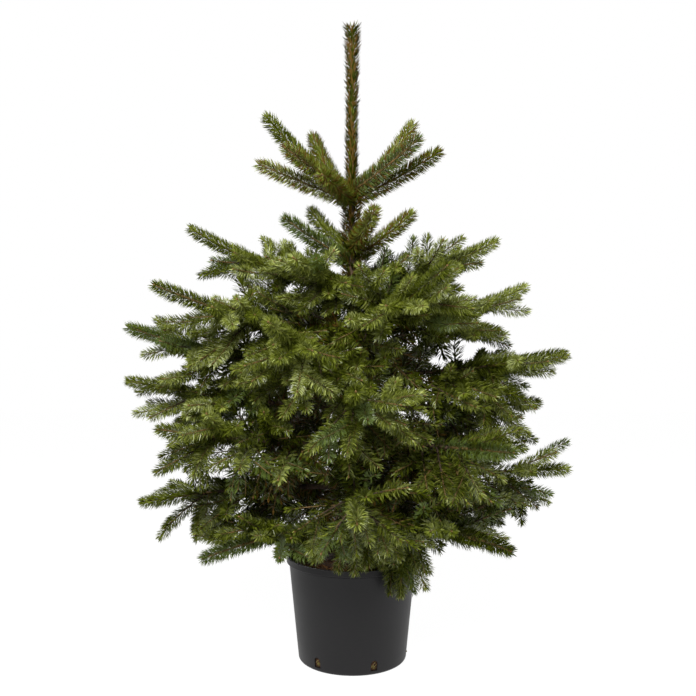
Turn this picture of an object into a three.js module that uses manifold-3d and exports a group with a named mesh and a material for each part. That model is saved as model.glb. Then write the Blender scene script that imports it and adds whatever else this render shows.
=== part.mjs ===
// A young potted spruce: nursery pot, peat, trunk, boughs and needled foliage in nine tiers.
// Millimetres, +Z up. The origin is the centre of the pot's flat underside.
// The front of the plant faces -Y. Azimuths turn from +X towards +Y.
import * as THREE from 'three';
import { mergeVertices } from 'three/addons/utils/BufferGeometryUtils.js';
import Module from 'manifold-3d';

const wasm = await Module();
wasm.setup();

// Pot
const POT_HEIGHT = 195;
const POT_BASE_RADIUS = 103;
const POT_TOP_RADIUS = 122.5;
const POT_EDGE_ROUND = 6;
const ROUND_SHARE = 0.3;
const POT_WALL = 2.6;
const POT_FLOOR = 4;
const LIP_RADIUS = 126;
const LIP_HEIGHT = 11;
const LIP_ROUND = 1.5;
const POT_SIDES = 36;
const DRAIN_COUNT = 6;
const DRAIN_TURN = 52;
const DRAIN_WIDTH = 13;
const DRAIN_BOTTOM = 8;
const DRAIN_TOP = 27;
const DRAIN_DEPTH = 30;
const DRAIN_ARC_STEPS = 3;

// Peat
const CLEARANCE = 0.3;
const PEAT_EDGE_HEIGHT = 178;
const PEAT_CROWN_HEIGHT = 183;
const PEAT_CROWN_RADIUS = 40;

// Trunk
const TRUNK_TOP = 1206;
const TRUNK_ROOT_RADIUS = 13.5;
const TRUNK_TIP_RADIUS = 2.4;
const ROOT_FLARE = 9;
const ROOT_FLARE_FALL = 22;
const TRUNK_SWAY = 5;
const TRUNK_SIDES = 10;
const TRUNK_RINGS = 16;
const RING_CROWDING = 1.5;
const HOLLOW_OVERRUN = 1;

// Boughs and twigs
const BOUGH_ROOT_RADIUS = 6.6;
const BOUGH_END_RADIUS = 5;
const BOUGH_SHARE = 0.22;
const BOUGH_SIDES = 5;
const BOUGH_RINGS = 3;
const STEM_CORE = 4.8;
const STEM_CROWDING = 27;
const TWIG_CORE = 3.6;
const SPRAY_SIDES = 3;
const SPRAY_TWIST = 60;
const NEEDLE_STANDOFF = 20;
const NEEDLE_START = 0.3;
const NEEDLE_GROW_IN = 70;
const NEEDLES_FROM = 4;
const TOOTH_PITCH = 46;
const TOOTH_BACKSET = 0.18;
const FIRST_TOOTH_GAP = 6;
const FEWEST_TEETH = 2;
const LAST_TOOTH = 0.62;
const LAST_TOOTH_TRIM = 5;
const CORE_TAPER = 0.45;
const STEM_ROOTING = 0.6;
const TWIG_ANGLE = 50;
const TWIG_ANGLE_SPREAD = 14;
const TWIG_FAN = 0.5;
const TWIG_TIP_LENGTH = 58;
const TWIG_ROLL_SPREAD = 125;
const TWIG_FIRST = 0.1;
const TWIG_LAST = 0.66;
const TWIG_SHORTEST = 48;
const TWIG_PLACE_SPREAD = 0.6;
const TWIG_FAN_CURVE = 0.9;
const TWIG_TRIM = 0.85;
const SPRAY_CLEARANCE = 2.5;
const POT_GAP = 3;
const SAMPLE_STEP = 9;

// Leader: the needled top shoot round the trunk's tip
const LEADER_FOOT = 918;
const LEADER_TOP = 1218;
const LEADER_CORE = 6.5;
const LEADER_STANDOFF = 17;
const LEADER_TIP_STANDOFF = 6;
const LEADER_TEETH = 8;
const LEADER_SIDES = 6;

// Tiers from the ground up. height is where the limbs leave the trunk. For each limb, reach is how
// far out its stem goes, swing turns it from its even share of the circle and lift raises it. rise
// and tipRise are the slopes at the trunk and at the tip, tilt lifts the right side against the
// left, roll turns the side twigs up out of the fan's plane, and curl bends their tips up. Angles
// are in degrees.
const TIERS = [
  { height: 272, turn: 40, reach: [362, 350, 323, 360], swing: [0, 0, -3, 1], lift: [0, 0, -3, 0],
    rise: 4, tipRise: -5, tilt: 0, roll: -4, curl: -4, twigs: 9, bough: false },
  { height: 335, turn: -6, reach: [419, 392, 420, 380], swing: [1, 0, 2, 0], lift: [0, 0, 0, 0],
    rise: 5, tipRise: -4, tilt: 4, roll: -24, curl: -8, twigs: 9, bough: true },
  { height: 412, turn: 40, reach: [412, 404, 405, 386], swing: [0, 0, -3, 0], lift: [0, 0, 2, 0],
    rise: 3, tipRise: 7, tilt: -6, roll: -28, curl: -4, twigs: 9, bough: true },
  { height: 482, turn: 0, reach: [370, 398, 436, 396], swing: [-1, 0, 10, 0], lift: [-4, 0, -1, 0],
    rise: 3, tipRise: 12, tilt: -5, roll: -28, curl: 2, twigs: 9, bough: true },
  { height: 546, turn: -14, reach: [402, 398, 429, 385], swing: [2, 0, 24, 0], lift: [0, 0, 2, 0],
    rise: 3, tipRise: 14, tilt: -3, roll: -28, curl: 8, twigs: 9, bough: true },
  { height: 616, turn: 30, reach: [358, 352, 400, 350], swing: [-17, 0, -5, 0], lift: [7, 0, 0, 0],
    rise: 5, tipRise: 19, tilt: 3, roll: -24, curl: 10, twigs: 9, bough: false },
  { height: 698, turn: -10, reach: [281, 270, 324, 262], swing: [5, 0, 13, -16], lift: [1, -12, 1, -20],
    rise: 13, tipRise: 28, tilt: 1, roll: -18, curl: 12, twigs: 7, bough: false },
  { height: 770, turn: 22, reach: [127, 110, 140, 126], swing: [-8, 30, -5, -6], lift: [10, 13, -1, -4],
    rise: 25, tipRise: 35, tilt: 0, roll: 0, curl: 0, twigs: 0, bough: false },
  { height: 882, turn: 5, reach: [176, 157, 144, 175, 188, 166, 164, 151],
    swing: [-1, -18, 29, 27, 10, -7, -27, 8], lift: [-5, 16, 17, 16, -25, -20, -36, -2],
    rise: 27, tipRise: 41, tilt: 0, roll: 0, curl: 0, twigs: 0, bough: false },
];
const AZIMUTH_SPREAD = 0.16;
const HEIGHT_STEP = 16;
const HEIGHT_SPREAD = 8;
const RISE_SPREAD = 9;

// Colours
const POT_COLOUR = '#35343a';
const PEAT_COLOUR = '#2d2010';
const BARK_COLOUR = '#5a4630';
const NEEDLE_COLOURS = ['#3f4a1f', '#4a5526', '#55602c', '#38461f', '#4d5224'];
const POT_ROUGHNESS = 0.6;
const PEAT_ROUGHNESS = 0.95;
const BARK_ROUGHNESS = 0.85;
const NEEDLE_ROUGHNESS = 0.8;

// What each random draw is for.
const DRAW = { azimuth: 1, height: 2, rise: 3, place: 11, angle: 31, roll: 51 };

const UP = new THREE.Vector3(0, 0, 1);
const rad = THREE.MathUtils.degToRad;
const STRAIGHT = 1e-4;
const MERGE_DISTANCE = 1e-3;
const SHORTEST_EDGE = 0.05;

// A number from 0 to 1 that is always the same for the same pair of keys.
function chance(key, turn) {
  const value = Math.sin(key * 12.9898 + turn * 78.233) * 43758.5453;
  return value - Math.floor(value);
}

// The same, from -0.5 to 0.5.
function sway(key, turn) {
  return chance(key, turn) - 0.5;
}

function profile(pairs) {
  return pairs.map(([radius, along]) => new THREE.Vector2(radius, along));
}

// Closed geometry to a solid that can be joined and cut.
function solid(geometry) {
  geometry.deleteAttribute('normal');
  geometry.deleteAttribute('uv');
  const merged = mergeVertices(geometry, MERGE_DISTANCE);
  const corners = merged.index.array;
  const triangles = [];
  for (let i = 0; i < corners.length; i += 3) {
    const [a, b, c] = [corners[i], corners[i + 1], corners[i + 2]];
    if (a !== b && b !== c && c !== a) triangles.push(a, b, c);
  }
  const mesh = new wasm.Mesh({
    numProp: 3,
    vertProperties: Float32Array.from(merged.attributes.position.array),
    triVerts: Uint32Array.from(triangles),
  });
  return new wasm.Manifold(mesh);
}

function surface(body) {
  const mesh = body.getMesh();
  const geometry = new THREE.BufferGeometry();
  geometry.setAttribute('position', new THREE.BufferAttribute(mesh.vertProperties, 3));
  geometry.setIndex(new THREE.BufferAttribute(mesh.triVerts, 1));
  return geometry;
}

// The largest shell of a joined body, which drops loose scraps and fills sealed hollows.
function whole(body) {
  const shells = solid(surface(body.simplify(SHORTEST_EDGE))).decompose();
  return shells.reduce((a, b) => (b.volume() > a.volume() ? b : a));
}

// Whether every edge of a body is shared by just two of its faces.
function sound(body) {
  const corners = mergeVertices(surface(body), MERGE_DISTANCE).index.array;
  const shared = new Map();
  for (let i = 0; i < corners.length; i += 1) {
    const next = i % 3 === 2 ? i - 2 : i + 1;
    const edge = [corners[i], corners[next]].sort((a, b) => a - b).join();
    shared.set(edge, (shared.get(edge) ?? 0) + 1);
  }
  return [...shared.values()].every((faces) => faces === 2);
}

function piece(name, body, colour, roughness) {
  const geometry = surface(whole(body));
  geometry.computeVertexNormals();
  const material = new THREE.MeshStandardMaterial({ color: colour, roughness, metalness: 0 });
  const made = new THREE.Mesh(geometry, material);
  made.name = name;
  return made;
}

// A profile turned about +Z.
function turned(pairs, sides) {
  return solid(new THREE.LatheGeometry(profile(pairs), sides).rotateX(Math.PI / 2));
}

// A limb is an arc in an upright plane. Its slope goes evenly from rise to tipRise.
function limb(start, azimuth, length, rise, tipRise) {
  const outward = new THREE.Vector3(Math.cos(azimuth), Math.sin(azimuth), 0);
  const side = new THREE.Vector3(Math.sin(azimuth), -Math.cos(azimuth), 0);
  const turn = Math.abs(tipRise - rise) < STRAIGHT ? STRAIGHT : tipRise - rise;
  const bend = turn / length;
  const at = (s) => {
    const slope = rise + bend * s;
    const run = (Math.sin(slope) - Math.sin(rise)) / bend;
    const climb = (Math.cos(rise) - Math.cos(slope)) / bend;
    const along = outward.clone().multiplyScalar(Math.cos(slope)).addScaledVector(UP, Math.sin(slope));
    const lift = UP.clone().multiplyScalar(Math.cos(slope)).addScaledVector(outward, -Math.sin(slope));
    const point = start.clone().addScaledVector(outward, run).addScaledVector(UP, climb);
    return { point, along, side, lift };
  };
  return { at, length };
}

// A lathe profile, radius against distance, carried along a limb. Each ring has its own twist.
function carried(pairs, twists, sides, path) {
  const geometry = new THREE.LatheGeometry(profile(pairs), sides);
  const position = geometry.attributes.position;
  const corner = new THREE.Vector3();
  for (let i = 0; i < position.count; i += 1) {
    corner.fromBufferAttribute(position, i);
    corner.applyAxisAngle(new THREE.Vector3(0, 1, 0), rad(twists[i % pairs.length]));
    const { point, side, lift } = path.at(corner.y);
    point.addScaledVector(side, corner.x).addScaledVector(lift, corner.z);
    position.setXYZ(i, point.x, point.y, point.z);
  }
  return solid(geometry);
}

// Needles thin out to nothing where a limb leaves the trunk.
function standoff(fromTrunk) {
  const grown = NEEDLE_START + ((1 - NEEDLE_START) * fromTrunk) / NEEDLE_GROW_IN;
  return NEEDLE_STANDOFF * Math.min(1, grown);
}

// One spray: a slim core from s = from to the limb's tip, with rings of needles that lean forward.
function spray(path, from, core, teethFrom, fromTrunk) {
  const span = path.length - teethFrom;
  const teeth = Math.max(FEWEST_TEETH, Math.round(span / TOOTH_PITCH));
  const pitch = span / teeth;
  const thin = (s) => core * (1 - (CORE_TAPER * (s - from)) / (path.length - from));
  const pairs = [[0, from], [core, from], [thin(teethFrom), teethFrom]];
  const twists = [0, 0, 0];
  for (let k = 0; k < teeth; k += 1) {
    const twist = (k % 2) * SPRAY_TWIST;
    const last = k === teeth - 1;
    const tip = teethFrom + (k + (last ? LAST_TOOTH : 1)) * pitch;
    const root = teethFrom + (k + 1 - TOOTH_BACKSET) * pitch;
    twists[twists.length - 1] = k ? twist : 0;
    pairs.push([thin(tip) + standoff(fromTrunk + tip) - (last ? LAST_TOOTH_TRIM : 0), tip]);
    twists.push(twist);
    pairs.push(last ? [0, path.length] : [thin(root), root]);
    twists.push(twist);
  }
  return carried(pairs, twists, SPRAY_SIDES, path);
}

// Balls along a limb that hold its needles, to keep sprays apart.
function balls(path, from, fromTrunk) {
  const list = [];
  const count = Math.ceil((path.length - from) / SAMPLE_STEP);
  for (let i = 0; i <= count; i += 1) {
    const s = from + ((path.length - from) * i) / count;
    list.push({ point: path.at(s).point, radius: standoff(fromTrunk + s) + TWIG_CORE });
  }
  return list;
}

function clear(list, others) {
  return list.every((a) => others.every((b) => {
    const reach = a.radius + b.radius + SPRAY_CLEARANCE;
    return a.point.distanceToSquared(b.point) > reach * reach;
  }));
}

// Outer radius of the pot's wall at a height.
function wallRadius(z) {
  return POT_BASE_RADIUS + ((POT_TOP_RADIUS - POT_BASE_RADIUS) * z) / (POT_HEIGHT - LIP_HEIGHT);
}

// Pot, lip and floor in one wall, with slots at the foot for drainage.
function pot() {
  const lipFoot = POT_HEIGHT - LIP_HEIGHT;
  const round = POT_EDGE_ROUND;
  const pairs = [
    [0, 0],
    [POT_BASE_RADIUS - round, 0],
    [POT_BASE_RADIUS - round * ROUND_SHARE, round * ROUND_SHARE],
    [wallRadius(round), round],
    [POT_TOP_RADIUS, lipFoot],
    [LIP_RADIUS - LIP_ROUND / 2, lipFoot],
    [LIP_RADIUS, lipFoot + LIP_ROUND],
    [LIP_RADIUS, POT_HEIGHT - LIP_ROUND],
    [LIP_RADIUS - LIP_ROUND, POT_HEIGHT],
    [POT_TOP_RADIUS, POT_HEIGHT],
    [POT_TOP_RADIUS - POT_WALL, lipFoot],
    [wallRadius(POT_FLOOR) - POT_WALL, POT_FLOOR],
    [0, POT_FLOOR],
  ];
  let body = turned(pairs, POT_SIDES);
  const outline = new THREE.Shape();
  const half = DRAIN_WIDTH / 2;
  outline.moveTo(-half, DRAIN_BOTTOM);
  outline.lineTo(half, DRAIN_BOTTOM);
  outline.lineTo(half, DRAIN_TOP - half);
  outline.absarc(0, DRAIN_TOP - half, half, 0, Math.PI, false);
  outline.closePath();
  for (let k = 0; k < DRAIN_COUNT; k += 1) {
    const azimuth = rad(DRAIN_TURN + (k * 360) / DRAIN_COUNT);
    const cutter = new THREE.ExtrudeGeometry(outline, {
      depth: DRAIN_DEPTH, bevelEnabled: false, curveSegments: DRAIN_ARC_STEPS,
    });
    cutter.translate(0, 0, POT_BASE_RADIUS - DRAIN_DEPTH / 2);
    cutter.rotateX(Math.PI / 2).rotateZ(azimuth + Math.PI / 2);
    body = body.subtract(solid(cutter));
  }
  return body;
}

// Peat fills the pot to a little below the lip and crowns slightly at the trunk.
function peat() {
  const inside = (z) => wallRadius(z) - POT_WALL - 2 * CLEARANCE;
  return turned([
    [0, POT_FLOOR + CLEARANCE],
    [inside(POT_FLOOR), POT_FLOOR + CLEARANCE],
    [inside(PEAT_EDGE_HEIGHT), PEAT_EDGE_HEIGHT],
    [PEAT_CROWN_RADIUS, PEAT_CROWN_HEIGHT],
    [0, PEAT_CROWN_HEIGHT],
  ], POT_SIDES);
}

const TRUNK_FOOT = PEAT_CROWN_HEIGHT + CLEARANCE;
const TRUNK_LENGTH = TRUNK_TOP - TRUNK_FOOT;

// The trunk's centre sways a little from side to side, less towards the top, where it comes back
// over the pot.
function trunkCentre(z) {
  const t = (z - TRUNK_FOOT) / TRUNK_LENGTH;
  const x = TRUNK_SWAY * Math.sin(2 * Math.PI * t) * (1 - t);
  return new THREE.Vector3(x, TRUNK_SWAY * Math.sin(Math.PI * t), z);
}

function trunkRadius(z) {
  const t = (z - TRUNK_FOOT) / TRUNK_LENGTH;
  const flare = ROOT_FLARE * Math.exp(-(z - TRUNK_FOOT) / ROOT_FLARE_FALL);
  return TRUNK_TIP_RADIUS + (TRUNK_ROOT_RADIUS - TRUNK_TIP_RADIUS) * (1 - t) + flare;
}

// A profile turned about the trunk's own centre line.
function swayed(pairs, sides) {
  const geometry = new THREE.LatheGeometry(profile(pairs), sides).rotateX(Math.PI / 2);
  const position = geometry.attributes.position;
  for (let i = 0; i < position.count; i += 1) {
    const centre = trunkCentre(position.getZ(i));
    position.setX(i, position.getX(i) + centre.x);
    position.setY(i, position.getY(i) + centre.y);
  }
  return solid(geometry);
}

// The trunk grown by a margin on its sides and top.
function trunk(margin, foot) {
  const pairs = [[0, foot]];
  for (let k = 0; k <= TRUNK_RINGS; k += 1) {
    const t = (k / TRUNK_RINGS) ** RING_CROWDING;
    const z = foot + (TRUNK_TOP + margin - foot) * t;
    pairs.push([trunkRadius(z) + margin, z]);
  }
  pairs.push([0, TRUNK_TOP + margin]);
  return swayed(pairs, TRUNK_SIDES);
}

// The leader is a sleeve of needles with the trunk's tip inside it.
function leader(hollow) {
  const pitch = (LEADER_TOP - LEADER_FOOT) / LEADER_TEETH;
  const pairs = [[0, LEADER_FOOT], [LEADER_CORE, LEADER_FOOT]];
  for (let k = 0; k < LEADER_TEETH; k += 1) {
    const last = k === LEADER_TEETH - 1;
    const z = LEADER_FOOT + (k + (last ? LAST_TOOTH : 1)) * pitch;
    pairs.push([last ? LEADER_CORE + LEADER_TIP_STANDOFF : LEADER_STANDOFF, z]);
    pairs.push(last ? [0, LEADER_TOP] : [LEADER_CORE, z - TOOTH_BACKSET * pitch]);
  }
  return swayed(pairs, LEADER_SIDES).subtract(hollow);
}

// The limbs of every tier, each an arc from the trunk's centre to its tip.
function limbs() {
  const list = [];
  TIERS.forEach((tier, level) => {
    tier.reach.forEach((reach, index) => {
      const key = (level + 1) * 10 + index + 1;
      const share = 360 / tier.reach.length;
      const even = tier.turn + share * (index + AZIMUTH_SPREAD * sway(key, DRAW.azimuth));
      const azimuth = rad(even + tier.swing[index]);
      const step = index % 2 ? 0.5 : -0.5;
      const height = tier.height + HEIGHT_STEP * step + HEIGHT_SPREAD * sway(key, DRAW.height);
      const raised = tier.tilt * Math.cos(azimuth) + tier.lift[index];
      const lean = raised + RISE_SPREAD * sway(key, DRAW.rise);
      const rise = rad(tier.rise + lean / 2);
      const tipRise = rad(tier.tipRise + lean);
      const length = (reach * (tipRise - rise)) / (Math.sin(tipRise) - Math.sin(rise));
      const path = limb(trunkCentre(height), azimuth, length, rise, tipRise);
      const name = `${level + 1}_${index + 1}`;
      list.push({ name, key, tier, path, foot: tier.bough ? length * BOUGH_SHARE : 0 });
    });
  });
  return list;
}

// The rule for side twigs: they leave the stem left and right in turn, shorter towards its tip.
function sideTwig(stem, count, index) {
  const { tier, path, foot, key } = stem;
  const span = path.length - foot;
  const place = (index + TWIG_PLACE_SPREAD * sway(key, index + DRAW.place)) / (count - 1);
  const share = TWIG_FIRST + (TWIG_LAST - TWIG_FIRST) * place;
  const { point, along, side, lift } = path.at(foot + span * share);
  const angle = rad(TWIG_ANGLE + TWIG_ANGLE_SPREAD * sway(key, index + DRAW.angle));
  const roll = rad(tier.roll + TWIG_ROLL_SPREAD * sway(key, index + DRAW.roll));
  const hand = (index + key) % 2 ? 1 : -1;
  const heading = along.clone().multiplyScalar(Math.cos(angle));
  heading.addScaledVector(side, hand * Math.sin(angle) * Math.cos(roll));
  heading.addScaledVector(lift, Math.sin(angle) * Math.sin(roll));
  const length = TWIG_TIP_LENGTH + TWIG_FAN * span * (1 - share) ** TWIG_FAN_CURVE;
  const rise = Math.asin(heading.z);
  const twig = limb(point, Math.atan2(heading.y, heading.x), length, rise, rise + rad(tier.curl));
  return { twig, fromTrunk: foot + span * share };
}

// Twigs that would touch a neighbour or the pot are cut shorter, and left out where too short
// or where their joint would pinch the surface.
function fitted(twig, fromTrunk, others) {
  for (let length = twig.length; length >= TWIG_SHORTEST; length *= TWIG_TRIM) {
    const shorter = { at: twig.at, length };
    const held = balls(shorter, 0, fromTrunk);
    const offPot = held.every(({ point, radius }) => {
      const out = Math.hypot(point.x, point.y);
      return point.z - radius > POT_HEIGHT + POT_GAP || out - radius > LIP_RADIUS + POT_GAP;
    });
    if (offPot && clear(held, others)) return { shorter, held };
  }
  return null;
}

const plant = new THREE.Group();
plant.add(piece('pot', pot(), POT_COLOUR, POT_ROUGHNESS));
plant.add(piece('peat', peat(), PEAT_COLOUR, PEAT_ROUGHNESS));
plant.add(piece('trunk', trunk(0, TRUNK_FOOT), BARK_COLOUR, BARK_ROUGHNESS));

const trunkHollow = trunk(CLEARANCE, TRUNK_FOOT - HOLLOW_OVERRUN);
plant.add(piece('leader_foliage', leader(trunkHollow), NEEDLE_COLOURS[0], NEEDLE_ROUGHNESS));

const stems = limbs();
stems.forEach((stem) => {
  const from = stem.foot ? stem.foot + CLEARANCE : trunkRadius(stem.path.at(0).point.z) * STEM_ROOTING;
  const teethFrom = Math.max(from + FIRST_TOOTH_GAP, NEEDLES_FROM * stem.tier.reach.length);
  const core = Math.min(STEM_CORE, STEM_CROWDING / stem.tier.reach.length);
  stem.body = spray(stem.path, from, core, teethFrom, 0);
  stem.held = balls(stem.path, teethFrom, 0);
});

const TWIG_ROUNDS = Math.max(...TIERS.map((tier) => tier.twigs));
for (let round = 0; round < TWIG_ROUNDS; round += 1) {
  stems.filter((stem) => round < stem.tier.twigs).forEach((stem) => {
    const { twig, fromTrunk } = sideTwig(stem, stem.tier.twigs, round);
    const others = stems.filter((other) => other !== stem).flatMap((other) => other.held);
    const fit = fitted(twig, fromTrunk, others);
    if (!fit) return;
    const grown = whole(stem.body.add(spray(fit.shorter, 0, TWIG_CORE, NEEDLE_STANDOFF, fromTrunk)));
    if (!sound(grown)) return;
    stem.body = grown;
    stem.held.push(...fit.held);
  });
}

stems.forEach((stem) => {
  if (stem.foot) {
    const pairs = [[0, 0]];
    const twists = [0];
    for (let k = 0; k <= BOUGH_RINGS; k += 1) {
      const t = k / BOUGH_RINGS;
      pairs.push([BOUGH_ROOT_RADIUS + (BOUGH_END_RADIUS - BOUGH_ROOT_RADIUS) * t, stem.foot * t]);
      twists.push(0);
    }
    pairs.push([0, stem.foot]);
    twists.push(0);
    const bough = carried(pairs, twists, BOUGH_SIDES, stem.path).subtract(trunkHollow);
    plant.add(piece(`bough_${stem.name}`, bough, BARK_COLOUR, BARK_ROUGHNESS));
  }
  const colour = NEEDLE_COLOURS[stem.key % NEEDLE_COLOURS.length];
  const foliage = stem.body.subtract(trunkHollow);
  plant.add(piece(`foliage_${stem.name}`, foliage, colour, NEEDLE_ROUGHNESS));
});

export default plant;
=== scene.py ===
"""A young potted spruce: nursery pot, peat, barked trunk and boughs, twigs, buds and needles."""
from math import radians

import bpy
import numpy as np
from bpy.props import FloatProperty, FloatVectorProperty, IntProperty, PointerProperty
from bpy.types import Operator, Panel, PropertyGroup
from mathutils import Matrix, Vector


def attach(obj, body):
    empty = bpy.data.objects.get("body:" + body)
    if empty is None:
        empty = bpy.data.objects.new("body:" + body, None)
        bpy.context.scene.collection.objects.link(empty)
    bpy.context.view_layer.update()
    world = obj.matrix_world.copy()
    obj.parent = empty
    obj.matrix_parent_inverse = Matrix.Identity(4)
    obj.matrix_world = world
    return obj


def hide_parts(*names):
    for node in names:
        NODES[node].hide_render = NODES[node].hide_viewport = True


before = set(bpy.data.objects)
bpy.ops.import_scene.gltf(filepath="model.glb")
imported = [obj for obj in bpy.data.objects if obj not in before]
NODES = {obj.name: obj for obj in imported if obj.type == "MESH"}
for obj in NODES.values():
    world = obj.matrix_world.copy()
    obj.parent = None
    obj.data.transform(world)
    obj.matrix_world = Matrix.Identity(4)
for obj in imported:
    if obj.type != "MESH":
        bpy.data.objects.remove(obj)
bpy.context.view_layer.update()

bl_info = {
    "name": "Potted spruce",
    "version": (1, 0, 0),
    "blender": (4, 5, 0),
    "location": "View3D > Sidebar > Spruce",
    "description": "Grows a potted spruce on its packed frame",
    "category": "Add Mesh",
}

MM = 0.001
UP = np.array([0.0, 0.0, 1.0])
EAST = np.array([1.0, 0.0, 0.0])
NORTH = np.array([0.0, 1.0, 0.0])
GOLDEN_TURN = 2.39996
FOLIAGE_NODES = [name for name in NODES if "foliage" in name]
BOUGH_NODES = [name for name in NODES if name.startswith("bough")]

# Tiers of limbs from the ground up, in millimetres and degrees: height on the trunk, turn of the
# first limb, rise and tip rise of the slope, tilt of the right side against the left, roll and curl
# of the side twigs, the number of side twigs, whether a bare bough comes first, and then for each
# limb how far out it reaches, its swing from an even share of the circle, and its lift.
TIERS = (
    (272, 40, 4, -5, 0, -4, -4, 9, 0, (362, 350, 323, 360), (0, 0, -3, 1), (0, 0, -3, 0)),
    (335, -6, 5, -4, 4, -24, -8, 9, 1, (419, 392, 420, 380), (1, 0, 2, 0), (0, 0, 0, 0)),
    (412, 40, 3, 7, -6, -28, -4, 9, 1, (412, 404, 405, 386), (0, 0, -3, 0), (0, 0, 2, 0)),
    (482, 0, 3, 12, -5, -28, 2, 9, 1, (370, 398, 436, 396), (-1, 0, 10, 0), (-4, 0, -1, 0)),
    (546, -14, 3, 14, -3, -28, 8, 9, 1, (402, 398, 429, 385), (2, 0, 24, 0), (0, 0, 2, 0)),
    (616, 30, 5, 19, 3, -24, 10, 9, 0, (358, 352, 400, 350), (-17, 0, -5, 0), (7, 0, 0, 0)),
    (698, -10, 13, 28, 1, -18, 12, 7, 0, (281, 270, 324, 262), (5, 0, 13, -16), (1, -12, 1, -20)),
    (770, 22, 25, 35, 0, 0, 0, 0, 0, (127, 110, 140, 126), (-8, 30, -5, -6), (10, 13, -1, -4)),
    (882, 5, 27, 41, 0, 0, 0, 0, 0, (176, 157, 144, 175, 188, 166, 164, 151),
     (-1, -18, 29, 27, 10, -7, -27, 8), (-5, 16, 17, 16, -25, -20, -36, -2)),
)
# Spread of a limb's turn, as a share of its part of the circle, step in height between neighbours,
# spread of height and rise, share of a bough that is bare, and what needles add to a limb's reach.
AZIMUTH_SPREAD = 0.16
HEIGHT_STEP = 16 * MM
HEIGHT_SPREAD = 8 * MM
RISE_SPREAD = radians(9)
BOUGH_SHARE = 0.22
TIP_NEEDLES = 10 * MM
# The highest tier that bears twigs. The limbs above it are single shoots.
TOP_TIER = 7
# A limb's key is ten times its tier plus its number in it.
FRONT_LIMB = 24

# Rules for twigs: angle to the stem, spread of that angle, length at the stem's tip, share of the
# stem's span added towards its foot, spread of the roll, and the first and last place on the stem.
SIDE_TWIGS = (50, 14, 40, 0.5, 125, 0.1, 0.66)
FINE_TWIGS = (40, 14, 48, 0.36, 75, 0.06, 0.54)
FINE_TWIG_SPACING = 50 * MM
FINE_TWIGS_MOST = 4
# How unevenly twigs are spaced, how their length falls along a stem, and what they keep of its roll.
TWIG_JITTER = 0.6
TWIG_FALL = 0.9
TWIG_ROLL = 0.4

# Twigs that droop from under the limbs of two tiers.
HANGING_TIERS = (2, 3)
HANGING_TWIGS = (56, 16, 48, 0.24, 70, 0.34, 0.7)
HANGING_TWIGS_EACH = 4
DROOP_ROLL = radians(70)
DROOP_CURL = radians(22)
# Bunches over the pot's rim at the front, on two limbs: only twigs near one heading grow.
RIM_LIMBS = (14, FRONT_LIMB)
RIM_TWIGS = (78, 10, 120, 0.06, 34, 0.28, 0.4)
RIM_TWIGS_EACH = (10, 6)
RIM_ROLL = radians(58)
RIM_HEADING = radians(287)
RIM_HEADING_SPREAD = radians(60)
# Twigs of the front limb that come down over the middle of the pot's lip.
LIP_TWIGS = (44, 12, 140, 0.06, 50, 0.26, 0.36)
LIP_TWIGS_EACH = 2
LIP_ROLL = radians(78)
# Short twigs close to the trunk, dead below the top tier, which make the crown's inside dark. They
# begin at a share of a bough's bare length.
INNER_TWIGS = (68, 40, 66, 0.08, 330, 0.04, 0.5)
INNER_TWIGS_EACH = 8
INNER_FOOT = 0.4
DEAD_ORDER = 3
# Twigs of the top tier are shorter and less steep.
TOP_TWIG_SHARE = 0.76
TOP_TWIG_RISE = radians(48)
# Keys of twigs are counted up from a multiple of the stem's key. What is added to a limb's key first
# gives each further set of twigs on it draws of its own.
KEYS_PER_STEM = 16
FIRST_KEY = 3
DROOP_KEY = 900
LIP_KEY = 1300
INNER_KEY = 500

# Twigs end where they come nearer to the pot than a gap, or below the crown's underside, looked for in
# steps along them. One that is then too short is left out.
POT_GAP = 10 * MM
RIM_GAP = 70 * MM
UNDERSIDE = 238 * MM
SHORTEST_TWIG = 22 * MM
OFF_POT_STEPS = 24
LEAST_SHARE = 0.001
# A straight limb counts as a very flat arc, of this bend in radians a metre.
LEAST_BEND = 0.001

# Trunk from the peat to its tip, its sway, how deep it sits in the peat, the fall of its root flare, and
# where the leader begins and how deep it sits in the trunk.
TRUNK_FOOT = 183.3 * MM
TRUNK_TOP = 1206 * MM
TRUNK_SWAY = 5 * MM
TRUNK_SUNK = 3 * MM
ROOT_FLARE_FALL = 22 * MM
LEADER_FOOT = 886 * MM
LEADER_SUNK = 4 * MM

# Radii of stems and twigs, and the share of a stem that has old bark.
TOP_SHOOT_FOOT = 2.6 * MM
LIMB_TIP = 1.5 * MM
TWIG_FOOT = 2.2 * MM
TWIG_TIP = 0.9 * MM
FINE_TWIG_FOOT = 1.3 * MM
DEAD_TWIG_FOOT = 1.5 * MM
OLD_BARK = 0.55
TOP_OLD_BARK = 0.02
# Bark scales: width, share of the relief and seed of two sizes, drawn out upwards, with the power that
# makes them blunt and the share of the relief that is sunk. Then the relief of boughs and leader, as a
# share of the trunk's, and that of thin stems.
BARK_SCALES = ((4 * MM, 0.65, 3), (4 * MM * 0.4, 0.35, 8))
BARK_STRETCH = np.array([1, 1, 0.6])
BARK_POWER = 0.6
BARK_SUNK = 0.5
BOUGH_RELIEF = 0.7
LEADER_RELIEF = 0.4
STEM_RELIEF = 0.4 * MM

# Buds: radius on limbs and side twigs and on fine twigs, length as a multiple of it, how far along they
# are widest, how deep they sit, and the buds round the leader's own.
BUD = 2.3 * MM
FINE_BUD = 1.5 * MM
BUD_LENGTH = 3
BUD_WIDEST = 0.35
BUD_SUNK = 1 * MM
LEADER_BUDS = 4
LEADER_BUD_LEAN = 0.5
LEADER_BUD_OUT = 6 * MM
LEADER_BUD_DOWN = 8 * MM

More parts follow.
